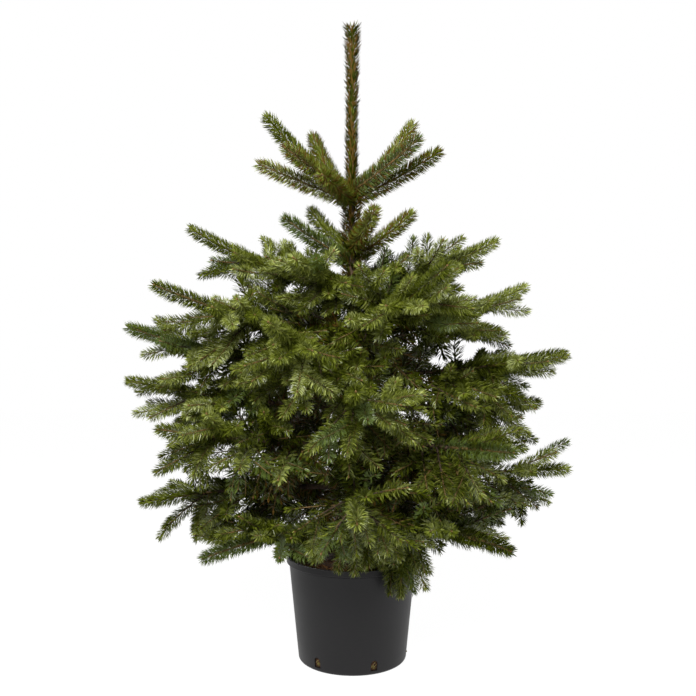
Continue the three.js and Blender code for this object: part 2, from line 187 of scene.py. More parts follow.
# Drain slots: turn of the first, foot and top of a slot, and reach of the cut.
DRAIN_TURN = radians(52)
DRAIN_FOOT = 8 * MM
DRAIN_TOP = 27 * MM
DRAIN_REACH = 15 * MM
# Root ends in each slot: in millimetres, the least and most of foot, climb and bow, how far to the side
# they go and their radii, then how far inside the wall they start and how they wave.
ROOTS_PER_DRAIN = 5
ROOT_LEAST = [[9], [6], [1]]
ROOT_MOST = [[14], [13], [6]]
ROOT_SIDE = 5
ROOT_RADII = (0.5, 0.9)
ROOT_INSET = 4 * MM
ROOT_WAVE = 2 * MM

# Peat: its gap to the pot, and lumps by width, height and seed, sunk so that they rise about its level.
PEAT_GAP = 1.2 * MM
PEAT_FLOOR_GAP = 0.5 * MM
PEAT_LUMPS = ((11 * MM, 7 * MM, 5), (4 * MM, 3.2 * MM, 6))
PEAT_LUMPS_SUNK = 6 * MM
# Loose pieces on the peat, in millimetres: lift over its edge, gap to the pot's wall, and least and most
# half length. They leave a share of the bed free about the trunk, and keep a share of a random tilt.
CRUMBS = (1, 4, 1.5, 3.5)
FIBRES = (2.5, 18, 6, 16)
FALLEN = (3.5, 10, 6, 9)
LITTER_FROM = 0.03
LITTER_TILT = 0.25
# Their bow and girth as shares of the half length, or their radius, and how high a fibre arches.
CRUMB_BOW, CRUMB_GIRTH = 0.2, 0.9
FIBRE_BOW, FIBRE_RADIUS, FIBRE_HUMP = 0.6, 0.45 * MM, 2 * MM
FALLEN_BOW, FALLEN_RADIUS = 0.1, 0.8 * MM

# Needle tones, from the youngest sprays to the oldest, then two that stand apart, with their gloss:
# old needles are duller.
TONES = (
    ("pale_green", "#a9b26c", 0.8),
    ("fresh_green", "#838b3c", 0.75),
    ("leaf_green", "#646d1e", 0.6),
    ("mid_green", "#4b540d", 0.36),
    ("deep_green", "#343b05", 0.16),
    ("shade_green", "#1f2500", 0.06),
    ("blue_green", "#58682e", 0.6),
    ("olive_brown", "#61491c", 0.25),
)
LEAF_TONE, DEEP_TONE, SHADE_TONE, BLUE_TONE, OLIVE_TONE = 2, 4, 5, 6, 7
NEEDLES_PER_PIECE = 48000

# Needles on a top shoot, a limb and a dead twig, as a percentage of those on a living twig, the length
# of each against a twig's needle, and the bare foot of shoots, as a share of their length or a size.
TOP_CROWD, LIMB_CROWD, DEAD_CROWD = 160, 175, 40
TOP_LONG, LIMB_LONG, DEAD_LONG = 1.3, 1.15, 1.35
TWIG_BARE, LIMB_BARE, TOP_BARE = 0.06, 0.3, 5 * MM
# Up to its waist a needle leans out by an angle more than its lean, and after it in by as much. It
# springs from a share of the shoot's radius, and its flanks stand a share of its width off its waist.
NEEDLE_BEND = radians(10)
NEEDLE_WAIST = 0.55
NEEDLE_ROOT = 0.7
NEEDLE_CREST = 0.3
SHOOT_CORE = 1.3 * MM
FINE_SHOOT_CORE = 0.9 * MM
# Spread of a needle's place, turn, lean, length and width.
PLACE_SPREAD = 0.4
TURN_SPREAD = 0.5
LEAN_SPREAD = radians(8)
LENGTH_SPREAD = 0.14
WIDTH_SPREAD = 0.12
# Needles shorten along a shoot. Near its tip, within a short fall, they lean in and shorten more.
LONG_AT_FOOT = 1.04
SHORTER_BY_TIP = 0.1
TIP_FALL = 9 * MM
TIP_LEAN = 0.5
TIP_SHORT = 0.25
UPPER_LEAN = radians(12)
# The crown is a cone with a widest and a narrowest radius. The inside counts from a height upwards and
# less on the top tier. There needles are thicker, and thinned out by a rate less an offset, up to a most.
# Those on dead twigs are thick and not thinned.
CROWN_TOP = 1.0
CROWN_SLOPE = 0.62
CROWN_RADII = (0.1, 0.4)
INSIDE_HEIGHT = 232 * MM
INSIDE_FADE = 75 * MM
TOP_INSIDE = 0.45
INSIDE_WIDE = 2.2
DEAD_WIDE = 1.1
THIN_RATE = 2.6
THIN_OFFSET = 0.2
THIN_MOST = 0.8
# A spray's tone, in steps: where its age starts, and what its own draw, the crown's inside, its foot,
# painted shade in a low place and each needle's draw add to it.
AGE_START = 1.5
AGE_BY_SPRAY = 1.9
AGE_INSIDE = 2.1
AGE_AT_FOOT = 0.3
PAINTED_SHADE_LOW = 0.5
AGE_SPREAD = 1.4
# Painted shade grows below this height, over this fade, so that lower sprays are dealt darker tones, as
# though the limbs above shaded them.
PAINTED_SHADE_HEIGHT = 420 * MM
PAINTED_SHADE_FADE = 160 * MM
# The share of sprays that are blue-green and of top shoots that are partly dry, how deep inside dry
# needles begin, and the limits of a needle's draw, from -1 to 1, for each.
BLUE_SPRAYS, BLUE_BELOW = 0.08, 0.3
DRY_TOP_SHOOTS, DRY_TOP_ABOVE = 0.5, 0.4
DRY_INSIDE, DRY_ABOVE = 0.5, 0.5
# The leader's needles: crowd, first height, bare tip, lean and its spread, the flare towards the tip
# with what it adds to lean and length, and the limits of a needle's draw for its greens.
LEADER_CROWD = 1.5
LEADER_NEEDLES_FROM = 705 * MM
LEADER_BARE_TIP = 2 * MM
LEADER_LEAN = radians(35)
LEADER_LEAN_SPREAD = radians(9)
LEADER_FLARE_FALL = 90 * MM
LEADER_FLARE_LEAN = radians(18)
LEADER_FLARE_LONG = 0.2
LEADER_LONG = 1.05
BELOW_LEADER_LONG = 1.3
LEADER_WIDE = 1.35
LEADER_GREEN_BELOW, LEADER_DEEP_BELOW, LEADER_SHADE_BELOW = 0.2, 0.4, 0.8

# Stage: half the floor's side, and places and sizes of the lamps, which all face the plant's middle.
FLOOR_HALF = 6.0
SOFT_BOX_PLACE = (-0.25, -1.42, 1.45)
SOFT_BOX_SIZE = 0.7
BACK_PLACE = (0.4, 2.2, 1.6)
BACK_ANGLE = radians(30)
FILL_PLACE = (2.3, -0.3, 0.3)
EDGE_PLACES = ((-2.0, 0.9, 0.6), (2.0, 0.9, 0.6))
PANEL_SIZE = 1.6
LAMP_AIM = Vector((0, 0, 0.55))
SENSOR_WIDTH = 36


def linear(code):
    """A hex colour as linear red, green, blue and alpha, by the sRGB curve."""
    values = [int(code[i:i + 2], 16) / 255 for i in (1, 3, 5)]
    return tuple(v / 12.92 if v <= 0.04045 else ((v + 0.055) / 1.055) ** 2.4 for v in values) + (1.0,)


def size(name, text, value):
    """A length that a user may change, in metres."""
    return FloatProperty(name=name, description=text, default=value, unit="LENGTH", precision=4)


def colour(name, text, code):
    """A colour that a user may change."""
    return FloatVectorProperty(name=name, description=text, default=linear(code), size=4,
                               subtype="COLOR", min=0, max=1)


def amount(name, text, value):
    """A plain number that a user may change."""
    return FloatProperty(name=name, description=text, default=value)


def tally(name, text, value):
    """A count that a user may change."""
    return IntProperty(name=name, description=text, default=value, min=1)


class PotSettings(PropertyGroup):
    """Sizes and colours of the nursery pot."""

    height: size("Height", "Height of the pot over its lip", 195 * MM)
    base_radius: size("Base radius", "Outer radius at the foot", 103 * MM)
    top_radius: size("Top radius", "Outer radius under the lip", 122.5 * MM)
    lip_radius: size("Lip radius", "Outer radius of the lip", 126 * MM)
    lip_height: size("Lip height", "Height of the lip", 11 * MM)
    wall: size("Wall", "Thickness of the wall", 2.6 * MM)
    floor: size("Floor", "Thickness of the floor", 4 * MM)
    drain_width: size("Drain width", "Width of a drain slot", 13 * MM)
    drain_count: tally("Drains", "Number of drain slots", 6)
    plastic: colour("Plastic", "Colour of the moulded plastic", "#100f11")
    bloom: colour("Bloom", "Paler bloom on the plastic", "#181718")
    dust: colour("Dust", "Dust in the grain", "#34302a")


class PeatSettings(PropertyGroup):
    """Sizes and colours of the peat."""

    edge_height: size("Edge height", "Height of the peat at the pot's wall", 178 * MM)
    crown_height: size("Crown height", "Height of the peat at the trunk", 183 * MM)
    crown_radius: size("Crown radius", "Radius of the raised middle", 40 * MM)
    crumbs: tally("Crumbs", "Number of loose crumbs", 700)
    fibres: tally("Fibres", "Number of loose fibres", 260)
    fallen: tally("Fallen needles", "Number of fallen needles", 500)
    dark: colour("Dark peat", "Colour of the damp peat", "#24150b")
    pale: colour("Pale peat", "Colour of the dry peat", "#5a3a1e")
    fibre: colour("Fibre", "Colour of the fibres", "#7d5630")
    straw: colour("Dry needles", "Colour of the fallen needles", "#7a5426")
    root: colour("Roots", "Colour of the root ends in the drains", "#8c8644")


class WoodSettings(PropertyGroup):
    """Sizes and colours of trunk, boughs, twigs and buds."""

    root_radius: size("Root radius", "Trunk radius at the peat", 13.5 * MM)
    tip_radius: size("Tip radius", "Trunk radius at the top", 2.4 * MM)
    flare: size("Root flare", "Extra radius at the peat", 9 * MM)
    bough_root: size("Bough root", "Bough radius at the trunk", 6.6 * MM)
    bough_end: size("Bough end", "Bough radius where needles begin", 5 * MM)
    relief: size("Bark relief", "Depth of the bark's scales", 1.3 * MM)
    bark: colour("Bark", "Colour of the bark scales", "#57432d")
    crack: colour("Cracks", "Colour between the scales", "#20170f")
    green: colour("Green wood", "Colour of green young shoots", "#454019")
    shoot: colour("Young wood", "Colour of young shoots", "#7a5c30")
    bud: colour("Buds", "Colour of the bud scales", "#74562c")


class NeedleSettings(PropertyGroup):
    """Size, set and number of the needles."""

    length: size("Length", "Length of a needle", 17.5 * MM)
    width: size("Width", "Thickness of a needle", 1.9 * MM)
    per_metre: tally("Per metre", "Needles on a metre of shoot", 3250)
    lean: FloatProperty(name="Lean", description="Angle of a needle to its shoot",
                        default=radians(64), subtype="ANGLE")


class StageSettings(PropertyGroup):
    """Camera, floor and light."""

    eye: FloatVectorProperty(name="Camera", description="Place of the camera",
                             default=(-8.3 * MM, -1577 * MM, 591.5 * MM), subtype="XYZ")
    lens: amount("Lens", "Focal length in millimetres", 42.41)
    floor: colour("Floor", "Colour of the floor", "#626262")
    glow: amount("Floor glow", "Light of the opal floor itself", 0.95)
    soft_box: amount("Soft box", "Power of the main light in watts", 41)
    back: amount("Back light", "Strength of the light from behind", 2.0)
    fill: amount("Fill light", "Power of the fill light in watts", 13)
    edge: amount("Edge light", "Power of each light at the sides in watts", 1.2)
    ambient: amount("Ambient", "Strength of the white surround", 0.1)


def scrambled(value):
    """A number from 0 to 1 for each value: what a large sine of it leaves after its whole part."""
    value = np.sin(value) * 43758.5453
    return value - np.floor(value)


def chance(key, draw):
    """A number from 0 to 1, the same for the same key and number of the draw."""
    return scrambled(key * 12.9898 + draw * 78.233)


def sway(key, draw):
    """The same, from -0.5 to 0.5."""
    return chance(key, draw) - 0.5


def speckle(points, cell, seed):
    """Smooth noise from 0 to 1: random values at the corners of a lattice, blended by a smooth step."""
    grid = points / cell
    corner = np.floor(grid).astype(np.int64)
    blend = grid - corner
    blend = blend * blend * (3 - 2 * blend)
    total = np.zeros(points.shape[:-1])
    for step in np.ndindex(2, 2, 2):
        value = scrambled((corner + step) @ np.array([127.1, 311.7, 74.7]) + seed * 19.19)
        total += np.where(step, blend, 1 - blend).prod(-1) * value
    return total


def unit(vectors):
    """Vectors at length one."""
    return vectors / np.linalg.norm(vectors, axis=-1, keepdims=True)


def about(turn):
    """Directions outward and sideways at turns about the upright axis."""
    outward = np.cos(turn)[:, None] * EAST + np.sin(turn)[:, None] * NORTH
    sideways = np.cos(turn)[:, None] * NORTH - np.sin(turn)[:, None] * EAST
    return outward, sideways


def dealt(counts):
    """The owner of each thing dealt out by counts, and its number with that owner."""
    owner = np.repeat(np.arange(len(counts)), counts)
    return owner, np.arange(len(owner)) - np.repeat(np.cumsum(counts) - counts, counts)


def pick(limbs, index):
    """Some of the limbs."""
    return {name: values[index] for name, values in limbs.items()}


def joined(*sets):
    """Several sets of limbs as one."""
    return {name: np.concatenate([limbs[name] for limbs in sets]) for name in sets[0]}


def at(limbs, s):
    """Points and frames at distances s (limbs x places) along arcs in upright planes. The slope goes
    evenly from rise to tip rise, so the run is the difference of its sines over the bend and the
    climb is that of its cosines."""
    rise = limbs["rise"][:, None]
    bend = (limbs["tip_rise"] - limbs["rise"]) / limbs["length"]
    bend = np.where(np.abs(bend) < LEAST_BEND, LEAST_BEND, bend)[:, None]
    slope = rise + bend * s
    run = (np.sin(slope) - np.sin(rise)) / bend
    climb = (np.cos(rise) - np.cos(slope)) / bend
    azimuth = limbs["azimuth"][:, None, None]
    outward = np.cos(azimuth) * EAST + np.sin(azimuth) * NORTH
    point = limbs["start"][:, None] + outward * run[..., None] + UP * climb[..., None]
    along = outward * np.cos(slope)[..., None] + UP * np.sin(slope)[..., None]
    lift = UP * np.cos(slope)[..., None] - outward * np.sin(slope)[..., None]
    side = np.broadcast_to(np.sin(azimuth) * EAST - np.cos(azimuth) * NORTH, point.shape)
    return point, along, side, lift


def at_each(limbs, s):
    """Point and frame at one distance along each limb."""
    return [values[:, 0] for values in at(limbs, s[:, None])]


def trunk_centre(z):
    """The trunk's centre: one full sine from side to side that fades towards the top, and half a sine
    from front to back."""
    t = (z - TRUNK_FOOT) / (TRUNK_TOP - TRUNK_FOOT)
    return np.stack([TRUNK_SWAY * np.sin(2 * np.pi * t) * (1 - t), TRUNK_SWAY * np.sin(np.pi * t), z], -1)


def trunk_radius(z, wood):
    """The trunk's radius: an even taper, and a flare at the root that falls off by the exponential."""
    t = (z - TRUNK_FOOT) / (TRUNK_TOP - TRUNK_FOOT)
    flare = wood.flare * np.exp(-(z - TRUNK_FOOT) / ROOT_FLARE_FALL)
    return wood.tip_radius + (wood.root_radius - wood.tip_radius) * (1 - t) + flare


def stems():
    """The limbs of every tier, each an arc from the trunk's centre whose reach is set by its tier."""
    rows = []
    for level, (*tier, reaches, swings, lifts) in enumerate(TIERS):
        rows += [(level, index, len(reaches), *tier, *limb)
                 for index, limb in enumerate(zip(reaches, swings, lifts))]
    (level, index, count, height, turn, rise, tip_rise, tilt, roll, curl, twigs, bough,
     reach, swing, lift) = np.array(rows, float).T
    key = (level + 1) * 10 + index + 1
    azimuth = np.radians(turn + 360 / count * (index + AZIMUTH_SPREAD * sway(key, 1)) + swing)
    step = np.where(index % 2, 0.5, -0.5)
    height = height * MM + HEIGHT_STEP * step + HEIGHT_SPREAD * sway(key, 2)
    lean = np.radians(tilt * np.cos(azimuth) + lift) + RISE_SPREAD * sway(key, 3)
    rise = np.radians(rise) + lean / 2
    tip_rise = np.radians(tip_rise) + lean
    length = reach * MM * (tip_rise - rise) / (np.sin(tip_rise) - np.sin(rise))
    tip_rise = tip_rise - (tip_rise - rise) * TIP_NEEDLES / length
    length = length - TIP_NEEDLES
    return {
        "start": trunk_centre(height), "azimuth": azimuth, "length": length, "rise": rise,
        "tip_rise": tip_rise, "key": key, "tier": level + 1, "order": np.zeros(len(key)),
        "roll": np.where(key == FRONT_LIMB, 0, np.radians(roll)), "curl": np.radians(curl),
        "twigs": twigs.astype(int), "foot": np.where(bough, BOUGH_SHARE * length, 0),
    }


def side_twigs(parents, counts, rule):
    """Twigs that leave each stem left and right in turn, shorter towards its tip: the heading is the
    stem's own turned by an angle to the side and rolled about the stem."""
    angle, angle_spread, tip_length, fan, roll_spread, first, last = rule
    counts = np.broadcast_to(counts, parents["key"].shape)
    owner, index = dealt(counts)
    stem = pick(parents, owner)
    key = stem["key"]
    span = stem["length"] - stem["foot"]
    place = (index + TWIG_JITTER * sway(key, index + 11)) / np.maximum(counts[owner] - 1, 1)
    share = first + (last - first) * place
    point, along, side, lift = at_each(stem, stem["foot"] + span * share)
    angle = np.radians(angle + angle_spread * sway(key, index + 31))[:, None]
    roll = (stem["roll"] + np.radians(roll_spread) * sway(key, index + 51))[:, None]
    hand = np.where((index + key) % 2 == 1, 1, -1)[:, None]
    across = side * hand * np.cos(roll) + lift * np.sin(roll)
    heading = along * np.cos(angle) + across * np.sin(angle)
    rise = np.arcsin(np.clip(heading[:, 2], -1, 1))
    return {
        "start": point, "azimuth": np.arctan2(heading[:, 1], heading[:, 0]),
        "length": tip_length * MM + fan * span * np.maximum(1 - share, 0) ** TWIG_FALL,
        "rise": rise, "tip_rise": rise + stem["curl"], "key": key * KEYS_PER_STEM + index + FIRST_KEY,
        "tier": stem["tier"], "order": stem["order"] + 1, "roll": stem["roll"] * TWIG_ROLL,
        "curl": stem["curl"], "twigs": np.zeros(len(key), int), "foot": np.zeros(len(key)),
    }


def off_pot(limbs, pot, gap=POT_GAP, lowest=0.0):
    """Limbs cut short where they would come down within a gap of the pot or below the crown's
    underside, and left out where too short."""
    share = np.linspace(0, 1, OFF_POT_STEPS)
    point = at(limbs, limbs["length"][:, None] * share)[0]
    height, out = point[..., 2], np.hypot(point[..., 0], point[..., 1])
    hit = (height < pot.height + POT_GAP) & (out < pot.lip_radius + gap)
    hit = hit | (height < lowest)
    kept = np.where(hit.any(1), share[hit.argmax(1)], 1.0)
    cut = dict(limbs)
    cut["length"] = limbs["length"] * np.maximum(kept, LEAST_SHARE)
    cut["tip_rise"] = limbs["rise"] + (limbs["tip_rise"] - limbs["rise"]) * kept
    return pick(cut, cut["length"] > SHORTEST_TWIG)


def hanging_twigs(main, pot):
    """Twigs rolled to the underside of their limbs and curled down: bunches over the pot's rim, a few
    over its lip, and the rest clear of both."""
    drooped = dict(main, key=main["key"] + DROOP_KEY, roll=main["roll"] - DROOP_ROLL,
                   curl=main["curl"] - DROOP_CURL, foot=np.zeros(len(main["key"])))
    over_rim = np.isin(main["key"], RIM_LIMBS)
    rim = pick(dict(drooped, roll=main["roll"] - RIM_ROLL), over_rim)
    rim = side_twigs(rim, RIM_TWIGS_EACH, RIM_TWIGS)
    rim = pick(rim, np.cos(rim["azimuth"] - RIM_HEADING) > np.cos(RIM_HEADING_SPREAD))
    lip = dict(drooped, key=main["key"] + LIP_KEY, roll=main["roll"] - LIP_ROLL)
    lip = side_twigs(pick(lip, main["key"] == FRONT_LIMB), LIP_TWIGS_EACH, LIP_TWIGS)
    low = pick(drooped, np.isin(main["tier"], HANGING_TIERS) & ~over_rim)
    low = side_twigs(low, HANGING_TWIGS_EACH, HANGING_TWIGS)
    return joined(off_pot(rim, pot), off_pot(lip, pot), off_pot(low, pot, RIM_GAP, UNDERSIDE))


def inner_twigs(main, pot):
    """Short twigs all round the limbs close to the trunk, dead below the top tier."""
    bearing = pick(main, main["twigs"] > 0)
    bearing["key"] = bearing["key"] + INNER_KEY
    bearing["foot"] = bearing["foot"] * INNER_FOOT
    inner = off_pot(side_twigs(bearing, INNER_TWIGS_EACH, INNER_TWIGS), pot, RIM_GAP, UNDERSIDE)
    inner["order"] = np.where(inner["tier"] < TOP_TIER, DEAD_ORDER, inner["order"])
    return inner


def growth(pot):
    """Limbs, their side and hanging twigs, the fine twigs on those, and the inner twigs, by one rule.
    On the top tier side twigs are shorter and rise no steeper than a limit."""
    main = stems()
    twigs = off_pot(side_twigs(main, main["twigs"], SIDE_TWIGS), pot, lowest=UNDERSIDE)
    top = twigs["tier"] == TOP_TIER
    twigs["length"] = twigs["length"] * np.where(top, TOP_TWIG_SHARE, 1)
    rise = np.minimum(twigs["rise"], np.where(top, TOP_TWIG_RISE, np.pi))
    twigs["tip_rise"] = twigs["tip_rise"] + rise - twigs["rise"]
    twigs["rise"] = rise
    hanging = hanging_twigs(main, pot)
    number = np.clip(np.round(twigs["length"] / FINE_TWIG_SPACING), 0, FINE_TWIGS_MOST)
    fine = off_pot(side_twigs(twigs, number.astype(int), FINE_TWIGS), pot, RIM_GAP, UNDERSIDE)
    drooping = off_pot(side_twigs(hanging, FINE_TWIGS_MOST, FINE_TWIGS), pot)
    return main, joined(twigs, hanging), joined(fine, drooping), inner_twigs(main, pot)


def copies(verts, faces):
    """Many like bodies as one shape, from their corners (bodies x corners) and the faces of one."""
    offset = np.arange(len(verts))[:, None, None] * verts.shape[1]
    return verts.reshape(-1, 3), (faces + offset).reshape(-1, 3)


def tubes(point, across, upward, radius, sides, relief=0.0):
    """Closed tubes: a circle carried along each path (tubes x rings), with bark scales of two sizes
    that stand out by a share of the relief, and a point that closes each end."""
    count, rings = point.shape[:2]
    across, upward = (np.broadcast_to(axis, point.shape)[:, :, None] for axis in (across, upward))
    turn = np.arange(sides)[:, None] * 2 * np.pi / sides
    spoke = across * np.cos(turn) + upward * np.sin(turn)
    skin = point[:, :, None] + spoke * np.broadcast_to(radius, (count, rings))[:, :, None, None]
    if relief:
        scale = sum(share * speckle(skin * BARK_STRETCH, wide, seed) for wide, share, seed in BARK_SCALES)
        scale = (np.abs(scale - 0.5) * 2) ** BARK_POWER
        skin = skin + spoke * (relief * scale - relief * BARK_SUNK)[..., None]
    verts = np.concatenate([skin.reshape(count, -1, 3), point[:, [0, -1]]], 1)
    place = np.arange(sides)
    after = (place + 1) % sides
    ring = np.arange(rings - 1)[:, None] * sides
    a, b = ring + place, ring + after
    c, d = b + sides, a + sides
    wall = np.stack([a, b, c, a, c, d], -1).reshape(-1, 3)
    low = np.stack([after, place, np.full(sides, rings * sides)], -1)
    top = np.stack([place, after, np.full(sides, sides + 1)], -1) + (rings - 1) * sides
    return copies(verts, np.concatenate([wall, low, top]))


def upright(centre, radius, sides, relief=0.0):
    """One tube about an upright line of centres: a circle carried up it."""
    return tubes(centre[None], EAST, NORTH, radius, sides, relief)


def limb_tubes(limbs, start, stop, thick, thin, rings, sides, relief=0.0):
    """Tubes along limbs between two distances from the foot, with an even taper."""
    each = limbs["key"].shape
    start, stop, thick, thin = (np.broadcast_to(v, each)[:, None] for v in (start, stop, thick, thin))
    share = np.linspace(0, 1, rings)
    point, _, side, lift = at(limbs, start + (stop - start) * share)
    return tubes(point, lift, side, thick + (thin - thick) * share, sides, relief)


def spindles(base, middle, tip, across, upward, half_width):
    """Slim closed spindles of six faces: a point, a ring of three about the middle, and a point."""
    turn = np.arange(3) * 2 * np.pi / 3
    ring = across[:, None] * np.cos(turn)[:, None] + upward[:, None] * np.sin(turn)[:, None]
    ring = middle[:, None] + ring * half_width[:, None, None]
    verts = np.concatenate([base[:, None], ring, tip[:, None]], 1)
    return copies(verts, np.array([[0, 2, 1], [0, 3, 2], [0, 1, 3], [4, 1, 2], [4, 2, 3], [4, 3, 1]]))


def set_needles(point, along, side, lift, around, lean, length, core, width):
    """Needles on a shoot: each leaves the bark at a turn about the shoot and leans forward, more so in
    its outer half, so that it curves towards the shoot's tip. A needle is a slim body of four faces:
    its foot and its tip make one edge, and its two flanks, set across its middle, the other."""
    radial = lift * np.cos(around)[:, None] + side * np.sin(around)[:, None]
    wide, slim = (lean + NEEDLE_BEND)[:, None], (lean - NEEDLE_BEND)[:, None]
    outset = along * np.cos(wide) + radial * np.sin(wide)
    inset = along * np.cos(slim) + radial * np.sin(slim)
    base = point + radial * core[:, None] * NEEDLE_ROOT
    middle = base + outset * (length * NEEDLE_WAIST)[:, None]
    tip = middle + inset * (length * (1 - NEEDLE_WAIST))[:, None]
    across = unit(np.cross(outset, along))
    crest = middle + np.cross(across, outset) * (width * NEEDLE_CREST)[:, None]
    flank = across * (width / 2)[:, None]
    # On a thick needle the crest can pass the line from foot to tip. Its flanks then change places, so
    # that its faces still point outwards.
    outwards = np.einsum("ij,ij->i", np.cross(flank, crest - base), tip - base) > 0
    flank = np.where(outwards[:, None], flank, -flank)
    verts = np.stack([base, tip, crest + flank, crest - flank], 1)
    return copies(verts, np.array([[0, 2, 1], [1, 3, 0], [0, 3, 2], [1, 2, 3]]))


def merged(*shapes):
    """Several shapes, each of corners and faces, as one."""
    corners = np.cumsum([0] + [len(verts) for verts, _ in shapes])
    faces = [faces + first for (_, faces), first in zip(shapes, corners)]
    return np.concatenate([verts for verts, _ in shapes]), np.concatenate(faces)


def add_object(name, data):
    """A new object in the scene, at the origin."""
    made = bpy.data.objects.new(name, data)
    bpy.context.scene.collection.objects.link(made)
    return made


def add_piece(name, verts, faces, material, slot, nodes=(), smooth=False):
    """A mesh from arrays of corners and triangles, put on the part's body."""
    if not len(faces):
        raise RuntimeError(name + " has no faces")
    mesh = bpy.data.meshes.new(name)
    mesh.vertices.add(len(verts))
    mesh.vertices.foreach_set("co", np.asarray(verts, np.float32).ravel())
    mesh.loops.add(faces.size)
    mesh.loops.foreach_set("vertex_index", np.asarray(faces, np.int32).ravel())
    mesh.polygons.add(len(faces))
    mesh.polygons.foreach_set("loop_start", np.arange(0, faces.size, 3, dtype=np.int32))
    mesh.polygons.foreach_set("use_smooth", np.full(len(faces), smooth))
    mesh.update(calc_edges=True)
    mesh.materials.append(material)
    piece = add_object(name, mesh)
    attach(piece, "root")
    if nodes:
        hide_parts(*nodes)
    return piece


def add_node(tree, kind, inputs=None, **settings):
    """Adds a node with its settings. An input that is a socket is linked, any other is set."""
    made = tree.nodes.new(kind)
    for name, value in settings.items():
        setattr(made, name, value)
    for name, value in (inputs or {}).items():
        if isinstance(value, bpy.types.NodeSocket):
            tree.links.new(value, made.inputs[name])
        else:
            made.inputs[name].default_value = value
    return made


def new_material(name, **inputs):
    """A material with one shader, whose sockets are set from the inputs."""
    material = bpy.data.materials.new(name)
    material.use_nodes = True
    tree = material.node_tree
    tree.nodes.clear()
    shader = add_node(tree, "ShaderNodeBsdfPrincipled")
    for socket, value in inputs.items():
        shader.inputs[socket.replace("_", " ")].default_value = value
    add_node(tree, "ShaderNodeOutputMaterial", {"Surface": shader.outputs["BSDF"]})
    return material, tree, shader


def moulded_polypropylene(pot):
    """Injection-moulded charcoal polypropylene: a soft satin with a fine pebbled grain, a pale bloom
    in broad clouds and dusty scuffs."""
    material, tree, shader = new_material("moulded_polypropylene", IOR=1.49, Specular_IOR_Level=0.32)
    where = add_node(tree, "ShaderNodeTexCoord").outputs["Object"]
    # Clouds of bloom about 60 mm wide.
    cloud = add_node(tree, "ShaderNodeTexNoise", {"Vector": where, "Scale": 1 / (60 * MM), "Detail": 5})
    tint = add_node(tree, "ShaderNodeMix", {
        "Factor": cloud.outputs["Fac"], "A": pot.plastic, "B": pot.bloom}, data_type="RGBA")
    # Scuffs that run round the wall: a noise about 8 mm wide, flattened to about 0.6 mm.
    wide, flatness = 8 * MM, 13.2
    flat = add_node(tree, "ShaderNodeMapping", {
        "Vector": where, "Scale": (1 / wide, 1 / wide, flatness / wide)})
    scuff = add_node(tree, "ShaderNodeTexNoise", {
        "Vector": flat.outputs["Vector"], "Scale": 1, "Detail": 3})
    mark = add_node(tree, "ShaderNodeMapRange", {
        "Value": scuff.outputs["Fac"], "From Min": 0.62, "From Max": 0.8, "To Max": 0.45})
    dusty = add_node(tree, "ShaderNodeMix", {
        "Factor": mark.outputs["Result"], "A": tint.outputs["Result"], "B": pot.dust}, data_type="RGBA")
    # Grain about 1.2 mm wide, coarser than the real one so that it shows.
    grain = add_node(tree, "ShaderNodeTexNoise", {"Vector": where, "Scale": 1 / (1.2 * MM), "Detail": 2})
    bump = add_node(tree, "ShaderNodeBump", {
        "Height": grain.outputs["Fac"], "Strength": 0.25, "Distance": 0.3 * MM})
    gloss = add_node(tree, "ShaderNodeMapRange", {
        "Value": cloud.outputs["Fac"], "To Min": 0.42, "To Max": 0.58})
    tree.links.new(dusty.outputs["Result"], shader.inputs["Base Color"])
    tree.links.new(gloss.outputs["Result"], shader.inputs["Roughness"])
    tree.links.new(bump.outputs["Normal"], shader.inputs["Normal"])
    return material


def blotched(name, dark, pale, cell, roughness, bump_depth):
    """A dull natural surface: two colours mixed by a noise of the given cell, with relief from it."""
    material, tree, shader = new_material(name, Roughness=roughness)
    where = add_node(tree, "ShaderNodeTexCoord").outputs["Object"]
    noise = add_node(tree, "ShaderNodeTexNoise", {
        "Vector": where, "Scale": 1 / cell, "Detail": 6, "Roughness": 0.65})
    spread = add_node(tree, "ShaderNodeMapRange", {
        "Value": noise.outputs["Fac"], "From Min": 0.36, "From Max": 0.66})
    tint = add_node(tree, "ShaderNodeMix", {
        "Factor": spread.outputs["Result"], "A": dark, "B": pale}, data_type="RGBA")
    bump = add_node(tree, "ShaderNodeBump", {
        "Height": noise.outputs["Fac"], "Strength": 0.8, "Distance": bump_depth})
    tree.links.new(tint.outputs["Result"], shader.inputs["Base Color"])
    tree.links.new(bump.outputs["Normal"], shader.inputs["Normal"])
    return material


